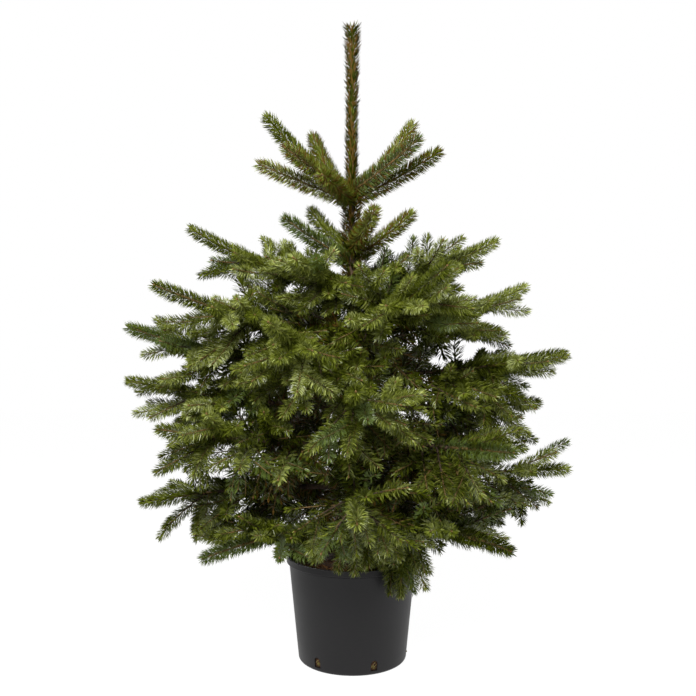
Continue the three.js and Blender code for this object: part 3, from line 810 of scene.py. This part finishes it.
class SPRUCE_OT_pot(Operator):
    """Moulds the pot with its lip, floor and drain slots."""

    bl_idname = "spruce.pot"
    bl_label = "Pot"

    def execute(self, context):
        """The wall's profile, from the underside up over the lip and down inside, carried round."""
        pot = context.scene.spruce_pot
        lip_foot = pot.height - pot.lip_height
        bend = np.linspace(-np.pi / 2, 0, 8)
        hub, edge, lip = 20 * MM, 6 * MM, 1.6 * MM
        inside = pot.top_radius - pot.wall
        rows = [
            (np.linspace(hub, pot.base_radius - edge, 8), np.zeros(8)),
            (pot.base_radius - edge + edge * np.cos(bend), edge + edge * np.sin(bend)),
            (np.linspace(pot.base_radius, pot.top_radius - lip, 30)[1:],
             np.linspace(edge, lip_foot - lip, 30)[1:]),
            (pot.top_radius - lip * np.sin(bend) - lip, lip_foot - lip + lip * np.cos(bend)),
            (pot.lip_radius - lip + lip * np.cos(bend), lip_foot + lip + lip * np.sin(bend)),
            (pot.lip_radius - lip - lip * np.sin(bend[::-1] + np.pi / 2) + lip,
             pot.height - lip + lip * np.sin(bend + np.pi / 2)),
            (np.linspace(inside + lip, inside, 6), np.linspace(pot.height, lip_foot, 6)),
            (np.linspace(inside, pot.base_radius - pot.wall, 12)[1:],
             np.linspace(lip_foot, pot.floor, 12)[1:]),
            (np.linspace(pot.base_radius - pot.wall, hub, 5)[1:], np.full(4, pot.floor)),
        ]
        radius = np.concatenate([r for r, _ in rows])
        height = np.concatenate([z for _, z in rows])
        shell = upright(height[:, None] * UP, radius, sides=144)
        piece = add_piece("pot_shell", *shell, moulded_polypropylene(pot), "pot", ["pot"], True)
        self.cut_drains(piece, pot)
        piece.data.set_sharp_from_angle(angle=radians(40))
        return {"FINISHED"}

    def cut_drains(self, piece, pot):
        """Cuts the drain slots: an upright slot with a round top, pushed through the wall."""
        half = pot.drain_width / 2
        arch = np.linspace(0, np.pi, 13)
        across = np.concatenate([[-half, half], half * np.cos(arch)])
        height = np.concatenate([[DRAIN_FOOT, DRAIN_FOOT], DRAIN_TOP - half + half * np.sin(arch)])
        outward, sideways = about(DRAIN_TURN + np.arange(pot.drain_count) * 2 * np.pi / pot.drain_count)
        outline = sideways[:, None] * across[:, None] + UP * height[:, None]
        reach = np.array([pot.base_radius - DRAIN_REACH, pot.base_radius + DRAIN_REACH])
        verts = outline[:, None] + (outward[:, None] * reach[:, None])[:, :, None]
        corners = len(across)
        place = np.arange(corners)
        after = (place + 1) % corners
        sides = np.stack([place, after, after + corners, place + corners], -1)
        ends = np.stack([place[::-1], place + corners])
        first = (np.arange(pot.drain_count) * 2 * corners)[:, None, None]
        drains = zip((sides + first).tolist(), (ends + first).tolist())
        faces = [face for around, closing in drains for face in around + closing]
        mesh = bpy.data.meshes.new("drain_cutter")
        mesh.from_pydata(verts.reshape(-1, 3).tolist(), [], faces)
        cutter = add_object("drain_cutter", mesh)
        cut = piece.modifiers.new("drains", "BOOLEAN")
        cut.operation = "DIFFERENCE"
        cut.object = cutter
        done = bpy.data.meshes.new_from_object(piece.evaluated_get(bpy.context.evaluated_depsgraph_get()))
        if not len(done.polygons):
            raise RuntimeError("the drain slots could not be cut")
        piece.modifiers.clear()
        piece.data = done
        bpy.data.objects.remove(cutter)


class SPRUCE_OT_peat(Operator):
    """Fills the pot with peat, crumbs, fibres, fallen needles and root ends."""

    bl_idname = "spruce.peat"
    bl_label = "Peat"

    def execute(self, context):
        """The bed's profile, up inside the pot's wall and in over its top, carried round and made
        lumpy by noise where it is open."""
        pot, peat = context.scene.spruce_pot, context.scene.spruce_peat
        slope = (pot.top_radius - pot.base_radius) / (pot.height - pot.lip_height - pot.floor)
        inset = pot.wall + PEAT_GAP
        hub, peak = 20 * MM, 4 * MM

        def wall(z):
            """The radius of the bed at a height."""
            return pot.base_radius - inset + slope * (z - pot.floor)

        foot, rim = pot.floor + PEAT_FLOOR_GAP, wall(peat.edge_height)
        height = np.concatenate([np.full(4, foot), np.linspace(foot, peat.edge_height, 24)])
        radius = np.concatenate([np.linspace(hub, wall(pot.floor), 5)[:-1], wall(height[4:])])
        top = np.linspace(rim, peak, 60)[1:]
        rise = np.clip((rim - top) / (rim - peat.crown_radius), 0, 1)
        mound = peat.edge_height + (peat.crown_height - peat.edge_height) * rise
        height, radius = np.concatenate([height, mound]), np.concatenate([radius, top])
        verts, faces = upright(height[:, None] * UP, radius, sides=150)
        lumps = sum(speckle(verts, wide, seed) * high for wide, high, seed in PEAT_LUMPS)
        fade = 2 * MM
        open_share = np.clip((verts[:, 2] - peat.edge_height + fade) / fade, 0, 1)
        verts[:, 2] += (lumps - PEAT_LUMPS_SUNK) * open_share
        # Milled peat: matt dark crumbs with paler dry specks, about 5 mm wide.
        milled = blotched("milled_peat", peat.dark, peat.pale, 5 * MM, 0.95, 1.5 * MM)
        add_piece("peat_bed", verts, faces, milled, "peat", ["peat"], True)
        self.litter(peat, rim, milled)
        self.drain_roots(pot, peat)
        return {"FINISHED"}

    def litter(self, peat, reach, milled):
        """Crumbs are spindles of peat, fibres are bent threads, and needles lie flat as they fell."""
        rng = np.random.default_rng(seed=21)

        def scatter(count, rule):
            """Spots even over the bed, directions along, across and over, and half lengths."""
            lift, inset, least, most = rule
            turn, share = rng.uniform(0, 2 * np.pi, count), np.sqrt(rng.uniform(LITTER_FROM, 1, count))
            out = (reach - inset * MM) * share
            height = np.full(count, peat.edge_height + lift * MM)
            spot = np.stack([out * np.cos(turn), out * np.sin(turn), height], -1)
            heading = unit(rng.normal(size=(count, 3)) * [1, 1, LITTER_TILT])
            across = unit(np.cross(heading, UP))
            half = rng.uniform(least, most, (count, 1)) * MM
            return spot, heading, across, np.cross(heading, across), half

        spot, heading, across, over, half = scatter(peat.crumbs, CRUMBS)
        crumbs = spindles(spot - heading * half, spot + across * half * CRUMB_BOW, spot + heading * half,
                          across, over, half[:, 0] * CRUMB_GIRTH)
        add_piece("peat_crumbs", *crumbs, milled, "peat")
        spot, heading, across, over, half = (v[:, None] for v in scatter(peat.fibres, FIBRES))
        share = np.linspace(-1, 1, 7)[:, None]
        bow = rng.uniform(-FIBRE_BOW, FIBRE_BOW, (peat.fibres, 1, 1))
        path = spot + heading * share * half + across * bow * half * share ** 2
        path[..., 2] += FIBRE_HUMP * np.cos(share[:, 0] * np.pi)
        # Peat fibres: dull straw-brown threads with darker stretches about 6 mm long.
        fibre = blotched("peat_fibre", peat.pale, peat.fibre, 6 * MM, 0.9, 0.2 * MM)
        add_piece("peat_fibres", *tubes(path, across, over, FIBRE_RADIUS, sides=4), fibre, "peat")
        spot, heading, across, over, half = scatter(peat.fallen, FALLEN)
        fallen = spindles(spot - heading * half, spot + across * half * FALLEN_BOW, spot + heading * half,
                          across, over, np.full(peat.fallen, FALLEN_RADIUS))
        # Dry needles: dull straw brown, with hardly any gloss.
        dry = new_material("dry_needle", Base_Color=peat.straw, Roughness=0.8)[0]
        add_piece("fallen_needles", *fallen, dry, "peat")

    def drain_roots(self, pot, peat):
        """Root ends in the drain slots: threads that climb in the slot, wave to the sides by a sine and
        bow out of it by half a sine."""
        rng = np.random.default_rng(seed=33)
        count = pot.drain_count * ROOTS_PER_DRAIN
        slot = np.arange(count) // ROOTS_PER_DRAIN
        outward, sideways = about(DRAIN_TURN + slot * 2 * np.pi / pot.drain_count)
        share = np.linspace(0, 1, 8)
        low, climb, bow = rng.uniform(ROOT_LEAST, ROOT_MOST, (3, count))[:, :, None] * MM
        left, right = rng.uniform(-ROOT_SIDE, ROOT_SIDE, (2, count))[:, :, None] * MM
        out = pot.base_radius - ROOT_INSET + bow * np.sin(np.pi * share)
        shift = left + (right - left) * share + ROOT_WAVE * np.sin(3 * np.pi * share)
        path = outward[:, None] * out[..., None] + sideways[:, None] * shift[..., None]
        path = path + UP * (low + climb * share)[..., None]
        radius = rng.uniform(*ROOT_RADII, (count, 1)) * MM
        roots = tubes(path, outward[:, None], sideways[:, None], radius, sides=5)
        # Root skin: yellow-green with brown patches about 4 mm wide, a little waxy.
        skin = blotched("root_skin", peat.pale, peat.root, 4 * MM, 0.7, 0.2 * MM)
        add_piece("drain_roots", *roots, skin, "peat", (), True)


class SPRUCE_OT_wood(Operator):
    """Grows the trunk and boughs with their bark, and the stems, twigs and buds."""

    bl_idname = "spruce.wood"
    bl_label = "Wood"

    def execute(self, context):
        """Circles carried up the trunk and along every limb and twig, old bark first and young wood
        after it."""
        wood = context.scene.spruce_wood
        # Spruce bark: matt brown scales about 5 mm wide with dark cracks between them.
        bark = blotched("spruce_bark", wood.crack, wood.bark, 5 * MM, 0.88, 0.8 * MM)
        # Young wood: a smooth skin that goes from green to orange brown over about 40 mm.
        young = blotched("young_spruce_wood", wood.green, wood.shoot, 40 * MM, 0.7, 0.3 * MM)
        z = np.linspace(TRUNK_FOOT - TRUNK_SUNK, LEADER_FOOT, 300)
        trunk = upright(trunk_centre(z), trunk_radius(z, wood), sides=36, relief=wood.relief)
        add_piece("trunk_bark", *trunk, bark, "bark", ["trunk"], True)
        main, twigs, fine, inner = growth(context.scene.spruce_pot)
        boughs = pick(main, main["foot"] > 0)
        boughs = limb_tubes(boughs, 0, boughs["foot"], wood.bough_root, wood.bough_end,
                            rings=40, sides=16, relief=wood.relief * BOUGH_RELIEF)
        add_piece("boughs_bark", *boughs, bark, "bark", BOUGH_NODES, True)
        z = np.linspace(LEADER_FOOT - LEADER_SUNK, TRUNK_TOP, 120)
        leader = upright(trunk_centre(z), trunk_radius(z, wood), sides=16,
                         relief=wood.relief * LEADER_RELIEF)
        add_piece("leader_bark", *leader, young, "bark", (), True)
        both = joined(main, twigs)
        first, top = both["order"] == 0, both["tier"] > TOP_TIER
        thick = np.where(first, np.where(top, TOP_SHOOT_FOOT, wood.bough_end), TWIG_FOOT)
        thin = np.where(first, LIMB_TIP, TWIG_TIP)
        turned = np.where(top, TOP_OLD_BARK, OLD_BARK)
        split = both["foot"] + (both["length"] - both["foot"]) * turned
        middle = thick + (thin - thick) * turned
        old = limb_tubes(both, both["foot"], split, thick, middle, rings=9, sides=5, relief=STEM_RELIEF)
        dead = limb_tubes(inner, 0, inner["length"], DEAD_TWIG_FOOT, TWIG_TIP, rings=5, sides=3)
        add_piece("stems_bark", *merged(old, dead), bark, "bark", FOLIAGE_NODES, True)
        new = limb_tubes(both, split, both["length"], middle, thin, rings=7, sides=4)
        last = limb_tubes(fine, 0, fine["length"], FINE_TWIG_FOOT, TWIG_TIP, rings=5, sides=3)
        add_piece("shoots_bark", *merged(new, last), young, "bark", (), True)
        self.buds(joined(main, twigs, fine), wood)
        return {"FINISHED"}

    def buds(self, limbs, wood):
        """A pointed bud at each tip: a spindle whose widest ring is near its foot. The leader ends in
        one upright bud with others about it."""
        point, along, side, lift = at_each(limbs, limbs["length"])
        count = LEADER_BUDS + 1
        spread = np.where(np.arange(count) < LEADER_BUDS, LEADER_BUD_LEAN, 0.0)[:, None]
        out = about(np.arange(count) * 2 * np.pi / LEADER_BUDS)[0]
        tips = trunk_centre(np.full(count, TRUNK_TOP))
        tips = tips + out * spread * LEADER_BUD_OUT - UP * spread * LEADER_BUD_DOWN
        heads = unit(UP + out * spread)
        round_about = unit(np.cross(heads, NORTH))
        point, along = np.concatenate([point, tips]), np.concatenate([along, heads])
        lift = np.concatenate([lift, round_about])
        side = np.concatenate([side, np.cross(heads, round_about)])
        half = np.where(np.append(limbs["order"], np.ones(count)) > 1, FINE_BUD, BUD)
        reach = (half * BUD_LENGTH)[:, None]
        bud = spindles(point - along * BUD_SUNK, point + along * reach * BUD_WIDEST,
                       point + along * reach, lift, side, half)
        # Bud scales: papery brown, a little shiny, about 1.5 mm wide.
        scales = blotched("bud_scales", wood.shoot, wood.bud, 1.5 * MM, 0.6, 0.3 * MM)
        add_piece("tip_buds", *bud, scales, "bark", (), True)


class SPRUCE_OT_needles(Operator):
    """Sets the needles on every shoot and on the leader, and joins them by tone."""

    bl_idname = "spruce.needles"
    bl_label = "Needles"

    def execute(self, context):
        """Deals the needles out by tone, into pieces of a set size."""
        needles = context.scene.spruce_needles
        rng = np.random.default_rng(seed=7)
        limbs = joined(*growth(context.scene.spruce_pot))
        shoots = self.on_shoots(limbs, needles, rng)
        leader = self.on_leader(needles, context.scene.spruce_wood, rng)
        tone = np.concatenate([shoots[0], leader[0]])
        frames = [np.concatenate(pair) for pair in zip(shoots[1:], leader[1:])]
        for number, (name, code, gloss) in enumerate(TONES):
            mine = np.flatnonzero(tone == number)
            # Waxy needles: a soft satin gloss, so that edges glint and faces stay dull.
            material = new_material("needle_" + name, Base_Color=linear(code), Roughness=0.34,
                                    Specular_IOR_Level=gloss, IOR=1.45)[0]
            for part, first in enumerate(range(0, len(mine), NEEDLES_PER_PIECE)):
                some = mine[first:first + NEEDLES_PER_PIECE]
                verts, faces = set_needles(*(values[some] for values in frames))
                add_piece(f"needles_{name}_{part + 1}", verts, faces, material, "needles")
        return {"FINISHED"}

    def on_shoots(self, limbs, needles, rng):
        """Needles stand all round a shoot by the golden turn, lean forward more on its upper side and
        towards its tip, and are dealt a tone by spray. Inside the crown they are thicker and thinned
        out, and on dead twigs long, thick and sparse."""
        length, order = limbs["length"], limbs["order"]
        top, dead = limbs["tier"] > TOP_TIER, order == DEAD_ORDER
        start = np.where(order > 0, TWIG_BARE * length, np.where(top, TOP_BARE, LIMB_BARE * length))
        kinds = [top, dead, order > 0]
        number = np.round((length - start) * needles.per_metre).astype(int)
        number = number * np.select(kinds, [TOP_CROWD, DEAD_CROWD, 100], LIMB_CROWD) // 100
        stretch = np.select(kinds, [TOP_LONG, DEAD_LONG, 1.0], LIMB_LONG)
        owner, step = dealt(number)
        shoot = pick(limbs, owner)
        start, top, dead = start[owner], top[owner], dead[owner]
        draw = rng.uniform(-1, 1, (5, len(owner)))
        place = (step + 0.5 + PLACE_SPREAD * draw[0]) / number[owner]
        s = start + (shoot["length"] - start) * place
        point, along, side, lift = at_each(shoot, s)
        height = point[:, 2]
        around = step * GOLDEN_TURN + TURN_SPREAD * draw[1]
        to_tip = np.exp(-(shoot["length"] - s) / TIP_FALL)
        lean = needles.lean * (1 - TIP_LEAN * to_tip) - UPPER_LEAN * np.maximum(np.cos(around), 0)
        lean = lean + LEAN_SPREAD * draw[2]
        long = needles.length * (LONG_AT_FOOT - SHORTER_BY_TIP * place + LENGTH_SPREAD * draw[3])
        long = stretch[owner] * (long * (1 - TIP_SHORT * to_tip))
        core = np.where(shoot["order"] > 1, FINE_SHOOT_CORE, SHOOT_CORE)
        edge = np.clip((CROWN_TOP - height) * CROWN_SLOPE, *CROWN_RADII)
        inside = np.where(top, 0, 1 - np.clip(np.hypot(point[:, 0], point[:, 1]) / edge, 0, 1))
        inside = inside * np.clip((height - INSIDE_HEIGHT) / INSIDE_FADE, 0, 1)
        inside = inside * np.where(shoot["tier"] < TOP_TIER, 1, TOP_INSIDE)
        thicker = np.where(dead, DEAD_WIDE, INSIDE_WIDE * inside)
        width = needles.width * (1 + WIDTH_SPREAD * draw[4] + thicker)
        # Painted shade: low down, sprays are dealt darker tones, as though the limbs above shaded them.
        low = np.clip((PAINTED_SHADE_HEIGHT - height) / PAINTED_SHADE_FADE, 0, 1)
        tone = self.tones(shoot, inside, place, low, rng.uniform(-1, 1, len(owner)))
        thinned = np.where(dead, 0, np.clip(THIN_RATE * inside - THIN_OFFSET, 0, THIN_MOST))
        kept = rng.uniform(0, 1, len(owner)) > thinned
        made = (tone, point, along, side, lift, around, lean, long, core, width)
        return [values[kept] for values in made]

    def tones(self, shoot, inside, place, low, draw):
        """The tone of a spray: its own draw, its place between trunk and crown's edge, painted shade that
        darkens it low down as though the limbs above shaded it, and its age, with a little of the next
        tones among its needles. Some sprays are blue-green, and needles inside and on some top shoots are
        dry."""
        key = shoot["key"]
        age = AGE_START + AGE_BY_SPRAY * chance(key, 71) + AGE_INSIDE * inside
        # The low term adds painted shade to the age, not real age.
        age = age + AGE_AT_FOOT * (1 - place) + PAINTED_SHADE_LOW * low + AGE_SPREAD * draw
        tone = np.clip(np.floor(age), 0, SHADE_TONE).astype(int)
        blue = (chance(key, 72) < BLUE_SPRAYS) & (draw < BLUE_BELOW)
        dry = (inside > DRY_INSIDE) & (draw > DRY_ABOVE)
        dry |= (shoot["tier"] > TOP_TIER) & (chance(key, 73) < DRY_TOP_SHOOTS) & (draw > DRY_TOP_ABOVE)
        return np.where(dry, OLIVE_TONE, np.where(blue, BLUE_TONE, tone))

    def on_leader(self, needles, wood, rng):
        """Needles on the leader and on the trunk below it point up and stand out, most at its tip and
        below its foot. About two in five are olive brown, and the rest green."""
        number = int((TRUNK_TOP - LEADER_NEEDLES_FROM) * needles.per_metre * LEADER_CROWD)
        draw = rng.uniform(-1, 1, (5, number))
        z = np.linspace(LEADER_NEEDLES_FROM, TRUNK_TOP - LEADER_BARE_TIP, number)
        point = trunk_centre(z)
        along, side, lift = (np.broadcast_to(axis, point.shape) for axis in (UP, EAST, NORTH))
        around = np.arange(number) * GOLDEN_TURN + TURN_SPREAD * draw[1]
        flare = np.exp(-(TRUNK_TOP - z) / LEADER_FLARE_FALL)
        below = z < LEADER_FOOT
        lean = LEADER_LEAN + LEADER_LEAN_SPREAD * draw[2] + LEADER_FLARE_LEAN * np.where(below, 1, flare)
        long = needles.length * (LEADER_LONG + LENGTH_SPREAD * draw[3])
        long = long * np.where(below, BELOW_LEADER_LONG, 1 + LEADER_FLARE_LONG * flare)
        green = np.where(draw[0] < LEADER_SHADE_BELOW, SHADE_TONE, LEAF_TONE)
        green = np.where(draw[0] < LEADER_DEEP_BELOW, DEEP_TONE, green)
        tone = np.where(draw[4] < LEADER_GREEN_BELOW, green, OLIVE_TONE)
        width = np.full(number, needles.width * LEADER_WIDE)
        return tone, point, along, side, lift, around, lean, long, trunk_radius(z, wood), width


class SPRUCE_OT_stage(Operator):
    """Sets the floor, the soft light and the camera."""

    bl_idname = "spruce.stage"
    bl_label = "Stage"

    def execute(self, context):
        """Lays the floor, hangs the lamps in a white surround and sets up a camera that looks level."""
        stage = context.scene.spruce_stage
        half = FLOOR_HALF
        mesh = bpy.data.meshes.new("floor")
        mesh.from_pydata([(-half, -half, 0), (half, -half, 0), (half, half, 0), (-half, half, 0)],
                         [], [(0, 1, 2, 3)])
        # Opal acrylic lit from below: no gloss, an even white with a faint shadow.
        mesh.materials.append(new_material(
            "opal_acrylic", Base_Color=stage.floor, Roughness=0.9, Specular_IOR_Level=0.0,
            Emission_Color=(1, 1, 1, 1), Emission_Strength=stage.glow)[0])
        floor = add_object("floor", mesh)
        self.lamp("soft_box", SOFT_BOX_PLACE, stage.soft_box, size=SOFT_BOX_SIZE)
        self.lamp("back_light", BACK_PLACE, stage.back, "SUN", angle=BACK_ANGLE)
        self.lamp("fill_light", FILL_PLACE, stage.fill, size=PANEL_SIZE)
        for place in EDGE_PLACES:
            self.lamp("edge_light", place, stage.edge, size=PANEL_SIZE)
        world = bpy.data.worlds.new("studio")
        context.scene.world = world
        world.use_nodes = True
        tree = world.node_tree
        tree.nodes.clear()
        # The surround lights the plant softly and is plain white behind it.
        seen = add_node(tree, "ShaderNodeLightPath").outputs["Is Camera Ray"]
        strength = add_node(tree, "ShaderNodeMapRange", {"Value": seen, "To Min": stage.ambient})
        surround = add_node(tree, "ShaderNodeBackground", {
            "Color": (1, 1, 1, 1), "Strength": strength.outputs["Result"]})
        add_node(tree, "ShaderNodeOutputWorld", {"Surface": surround.outputs["Background"]})
        context.scene.view_settings.view_transform = "Standard"
        camera = add_object("camera", bpy.data.cameras.new("camera"))
        camera.location = stage.eye
        camera.rotation_euler = (radians(90), 0, 0)
        camera.data.lens = stage.lens
        camera.data.sensor_width = SENSOR_WIDTH
        context.scene.camera = camera
        return {"FINISHED"}

    def lamp(self, name, place, power, kind="AREA", **settings):
        """A lamp that faces the plant's middle."""
        light = bpy.data.lights.new(name, kind)
        light.energy = power
        for setting, value in settings.items():
            setattr(light, setting, value)
        lamp = add_object(name, light)
        lamp.visible_camera = False
        lamp.location = place
        lamp.rotation_euler = (LAMP_AIM - lamp.location).to_track_quat("-Z", "Y").to_euler()


class SPRUCE_PT_sidebar(Panel):
    """Lists the steps and the values in the sidebar."""

    bl_label = "Potted spruce"
    bl_idname = "SPRUCE_PT_sidebar"
    bl_space_type = "VIEW_3D"
    bl_region_type = "UI"
    bl_category = "Spruce"

    def draw(self, context):
        """A box for each step, with its button and its values."""
        for group, (_, step) in GROUPS.items():
            box = self.layout.box()
            box.operator(step.bl_idname)
            settings = getattr(context.scene, group)
            for name in settings.bl_rna.properties.keys():
                if name not in ("rna_type", "name"):
                    box.prop(settings, name)


# Each group's values and the step that uses them first.
GROUPS = {
    "spruce_pot": (PotSettings, SPRUCE_OT_pot),
    "spruce_peat": (PeatSettings, SPRUCE_OT_peat),
    "spruce_wood": (WoodSettings, SPRUCE_OT_wood),
    "spruce_needles": (NeedleSettings, SPRUCE_OT_needles),
    "spruce_stage": (StageSettings, SPRUCE_OT_stage),
}
CLASSES = [made for pair in GROUPS.values() for made in pair] + [SPRUCE_PT_sidebar]


def register():
    """Registers the classes and hangs the settings on the scene."""
    for made in CLASSES:
        bpy.utils.register_class(made)
    for name, (settings, _) in GROUPS.items():
        setattr(bpy.types.Scene, name, PointerProperty(type=settings))


def unregister():
    """Takes the settings and the classes away again."""
    for name in GROUPS:
        delattr(bpy.types.Scene, name)
    for made in reversed(CLASSES):
        bpy.utils.unregister_class(made)


def main():
    """Makes every piece in order."""
    register()
    bpy.ops.spruce.pot()
    bpy.ops.spruce.peat()
    bpy.ops.spruce.wood()
    bpy.ops.spruce.needles()
    bpy.ops.spruce.stage()
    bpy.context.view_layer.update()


if __name__ == "__main__":
    main()
